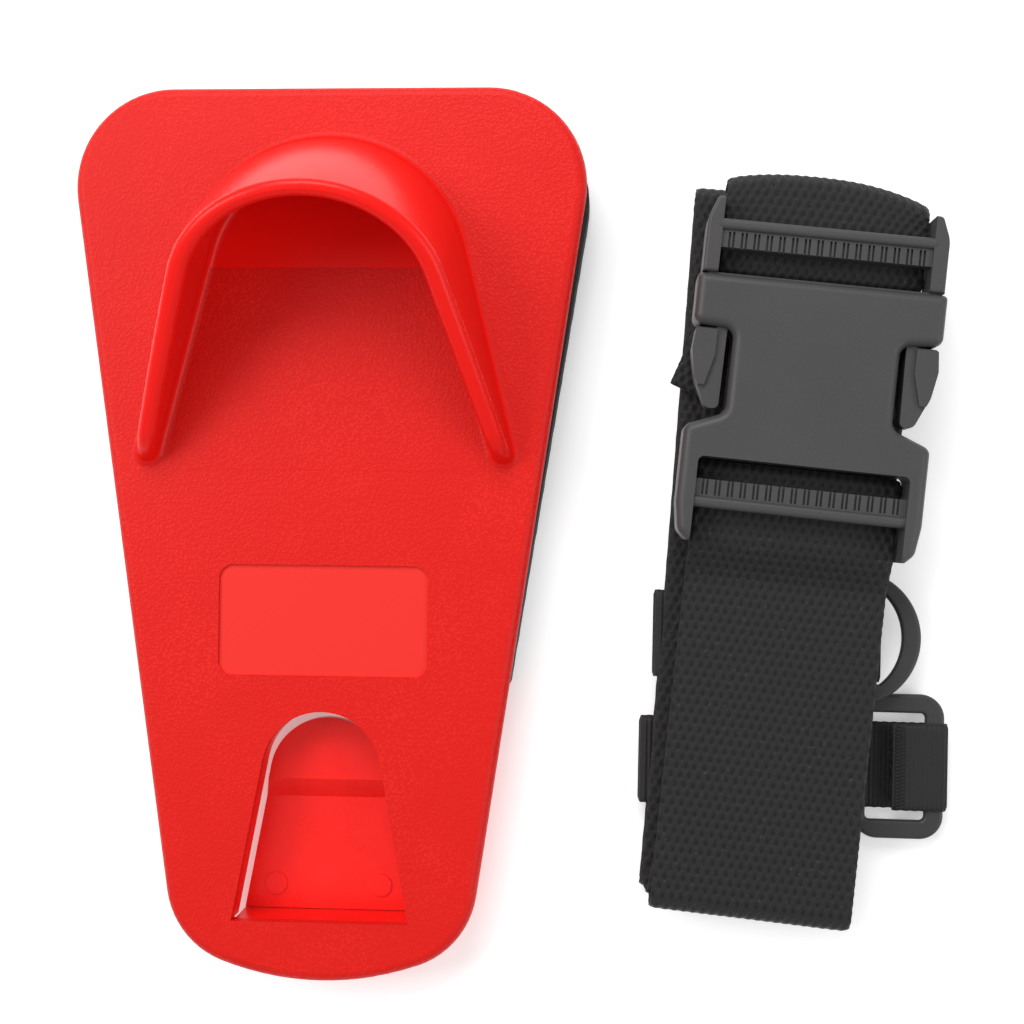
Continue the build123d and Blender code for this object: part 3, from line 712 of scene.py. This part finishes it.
def buildDKeeper():
    s = keepers
    radius = s["inside"] + s["tape"] / 2
    leftCentre = s["left"] + s["inside"]
    top, bottom = s["dRingLevel"] + radius, s["dRingLevel"] - radius
    line = joined([
        run(bottom, leftCentre, s["dRingBar"], 0.29),
        fold(s["dRingBar"], bottom, top, 1, 22),
        run(top, s["dRingBar"], leftCentre, 0.29),
        fold(leftCentre, top, bottom, -1, 22),
    ])[:-1]
    tape = stripSolid("d_ring_keeper_tape", line, s["width"], s["thickness"], 20, tapeRelief, "ribbedTape",
                      keeperFrame(s["dKeeperAlong"]), 1, 0, closed=True)
    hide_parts("d_ring_keeper")
    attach(tape, "d_keeper")


def buildSquareKeeper():
    s = keepers
    radius = s["inside"] + s["tape"] / 2
    leftCentre = s["left"] + s["inside"]
    rightCentre = s["squareRight"] + 0.3 - s["inside"]
    loopEnd = 20.9
    top, bottom = s["squareLevel"] + radius, s["squareLevel"] - radius
    line = joined([
        run(top, s["flapEnd"], rightCentre, 0.29),
        fold(rightCentre, top, bottom, 1, 22),
        run(bottom, rightCentre, leftCentre, 0.29),
        fold(leftCentre, bottom, top, -1, 22),
        run(top, leftCentre, loopEnd, 0.29),
        fold(loopEnd, top, bottom + s["tape"], 1, 14),
    ])
    place = keeperFrame(s["squareAlong"])
    tape = stripSolid("square_ring_keeper_tape", line, s["width"], s["thickness"], 20, tapeRelief, "ribbedTape",
                      place, 1, 0)
    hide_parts("square_ring_keeper")
    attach(tape, "square_keeper")
    buildBartack(place, top + s["thickness"] / 2)
    buildFray(place, top)


def buildBartack(place, level):
    # zigzag of thread near the flap's cut end, dipping into the tape at each turn
    turns = 46
    step = np.arange(turns * 6) / 6.0
    phase = step - np.floor(step)
    swing = np.where(np.floor(step) % 2 == 0, phase, 1 - phase)
    x = keepers["flapEnd"] + 0.6 + 2.6 * swing
    y = np.linspace(-10.3, 10.3, len(step))
    z = level + 0.16 - 0.24 * np.abs(2 * swing - 1) ** 4
    thread = tubeSolid("square_ring_keeper_bartack", np.stack([x, y, z], 1), 0.2, 8, "threadBlack", place)
    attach(thread, "square_keeper")


def buildFray(place, level):
    # loose yarn ends at the flap's cut: short bent hairs with seeded lengths and leans
    random = np.random.default_rng(7)
    hairs = []
    for _ in range(34):
        start = random.uniform(-10.5, 10.8)
        lean = random.uniform(-0.9, 1.4)
        size = random.uniform(0.7, 1.7)
        t = np.linspace(0, 1, 6)
        x = keepers["flapEnd"] + 0.2 - size * t * 0.7
        y = start + lean * t**1.6
        z = level + random.uniform(-0.2, 0.25) + 0.5 * np.sin(t * 2.2) * random.uniform(-0.4, 0.9)
        hairs.append(np.stack([x, y, z], 1))
    pieces = [tubeSolid("hair", hair, 0.09, 5, "threadBlack", place) for hair in hairs]
    joinedPiece = joinPieces(pieces, "square_ring_keeper_fray")
    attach(joinedPiece, "square_keeper")


def joinPieces(pieces, name):
    bpy.ops.object.select_all(action="DESELECT")
    for piece in pieces:
        piece.select_set(True)
    bpy.context.view_layer.objects.active = pieces[0]
    bpy.ops.object.join()
    whole = bpy.context.view_layer.objects.active
    whole.name = name
    whole.data.name = name
    return whole


buildDKeeper()
buildSquareKeeper()
print("keepers ready")


pad = {
    "thickness": 11.7,
    "bulge": 0.1,
    "edgeRound": 1.5,
    "topHalf": 69.3, "top": 113.0, "taper": 8.35, "cornerRadius": 27.5, "topInset": 0.8,
    "bottom": -38.0,
    "skew": -0.6, "skewCentre": -20.0,
}


def roundedOutline(corners, radii, arcPoints, straightPoints):
    # corners joined by straight lines, each rounded by an arc that touches both
    corners = np.asarray(corners, float)
    count = len(corners)
    points = []
    for k in range(count):
        before, here, after = corners[k - 1], corners[k], corners[(k + 1) % count]
        inward, outward = before - here, after - here
        inward, outward = inward / np.linalg.norm(inward), outward / np.linalg.norm(outward)
        half = math.acos(float(np.clip(inward @ outward, -1, 1))) / 2
        middle = (inward + outward) / np.linalg.norm(inward + outward)
        centre = here + middle * radii[k] / math.sin(half)
        first = here + inward * radii[k] / math.tan(half) - centre
        last = here + outward * radii[k] / math.tan(half) - centre
        startAngle, endAngle = math.atan2(first[1], first[0]), math.atan2(last[1], last[0])
        sweep = (endAngle - startAngle + math.pi) % (2 * math.pi) - math.pi
        angle = startAngle + sweep * np.linspace(0, 1, arcPoints)
        points.append(centre + radii[k] * np.stack([np.cos(angle), np.sin(angle)], 1))
    outline = []
    for k in range(count):
        start, end = points[k][-1], points[(k + 1) % count][0]
        share = np.linspace(0, 1, straightPoints + 2)[1:-1, None]
        outline += [points[k], start + (end - start) * share]
    return np.concatenate(outline)


def buildPad():
    # profile carried round the outline: flat bottom, rounded lower edge, bulging cut side, flat top
    s = pad
    slope = math.tan(math.radians(s["taper"]))
    bottomHalf = s["topHalf"] - (s["top"] - s["bottom"]) * slope
    top = s["top"] - s["topInset"]
    topHalf = s["topHalf"] - s["topInset"] * slope
    outline = roundedOutline(
        [(-topHalf, top), (-bottomHalf, s["bottom"]), (bottomHalf, s["bottom"]), (topHalf, top)],
        [s["cornerRadius"], 1.0, 1.0, s["cornerRadius"]], 24, 60,
    )
    centre = outline.mean(0)
    outward = np.stack([np.gradient(outline[:, 1]), -np.gradient(outline[:, 0])], 1)
    outward /= np.linalg.norm(outward, axis=1, keepdims=True)
    if np.sum(outward * (outline - centre)) < 0:
        outward = -outward
    turn = np.linspace(0, math.pi / 2, 5)
    low = np.stack([-s["edgeRound"] * (1 - np.sin(turn)), s["edgeRound"] * (1 - np.cos(turn))], 1)
    wallZ = np.linspace(s["edgeRound"], s["thickness"], 10)[1:]
    share = (wallZ - s["edgeRound"]) / (s["thickness"] - s["edgeRound"])
    wall = np.stack([s["bulge"] * np.sin(math.pi * share) - 0.15 * share, wallZ], 1)
    profile = np.concatenate([low, wall])
    inner = np.linspace(0.97, 0.03, 12)
    rings = [np.c_[centre + (outline - centre) * k, np.zeros(len(outline))] for k in inner[::-1]]
    for offset, height in profile:
        rings.append(np.c_[outline + outward * offset, np.full(len(outline), height)])
    rings += [np.c_[centre + (outline - centre) * k, np.full(len(outline), s["thickness"])] for k in inner]
    grid = np.stack(rings)
    wobble = 0.07 * np.sin(grid[..., 1] * 0.9) * np.sin(grid[..., 1] * 0.23 + grid[..., 2])
    edgeShare = ((grid[..., 2] > 0.2) & (grid[..., 2] < s["thickness"] - 0.2)).astype(float)
    grid[..., 0] += wobble * edgeShare
    local = Matrix.Translation((0, s["skewCentre"] * mm, 0)) @ turnZ(s["skew"])
    local = local @ Matrix.Translation((0, -s["skewCentre"] * mm, 0))
    foam = solidFromGrid("back_pad_foam", placed(grid, local), "cutFoam")
    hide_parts("back_pad")
    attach(foam, "plate")


buildPad()
print("pad ready")
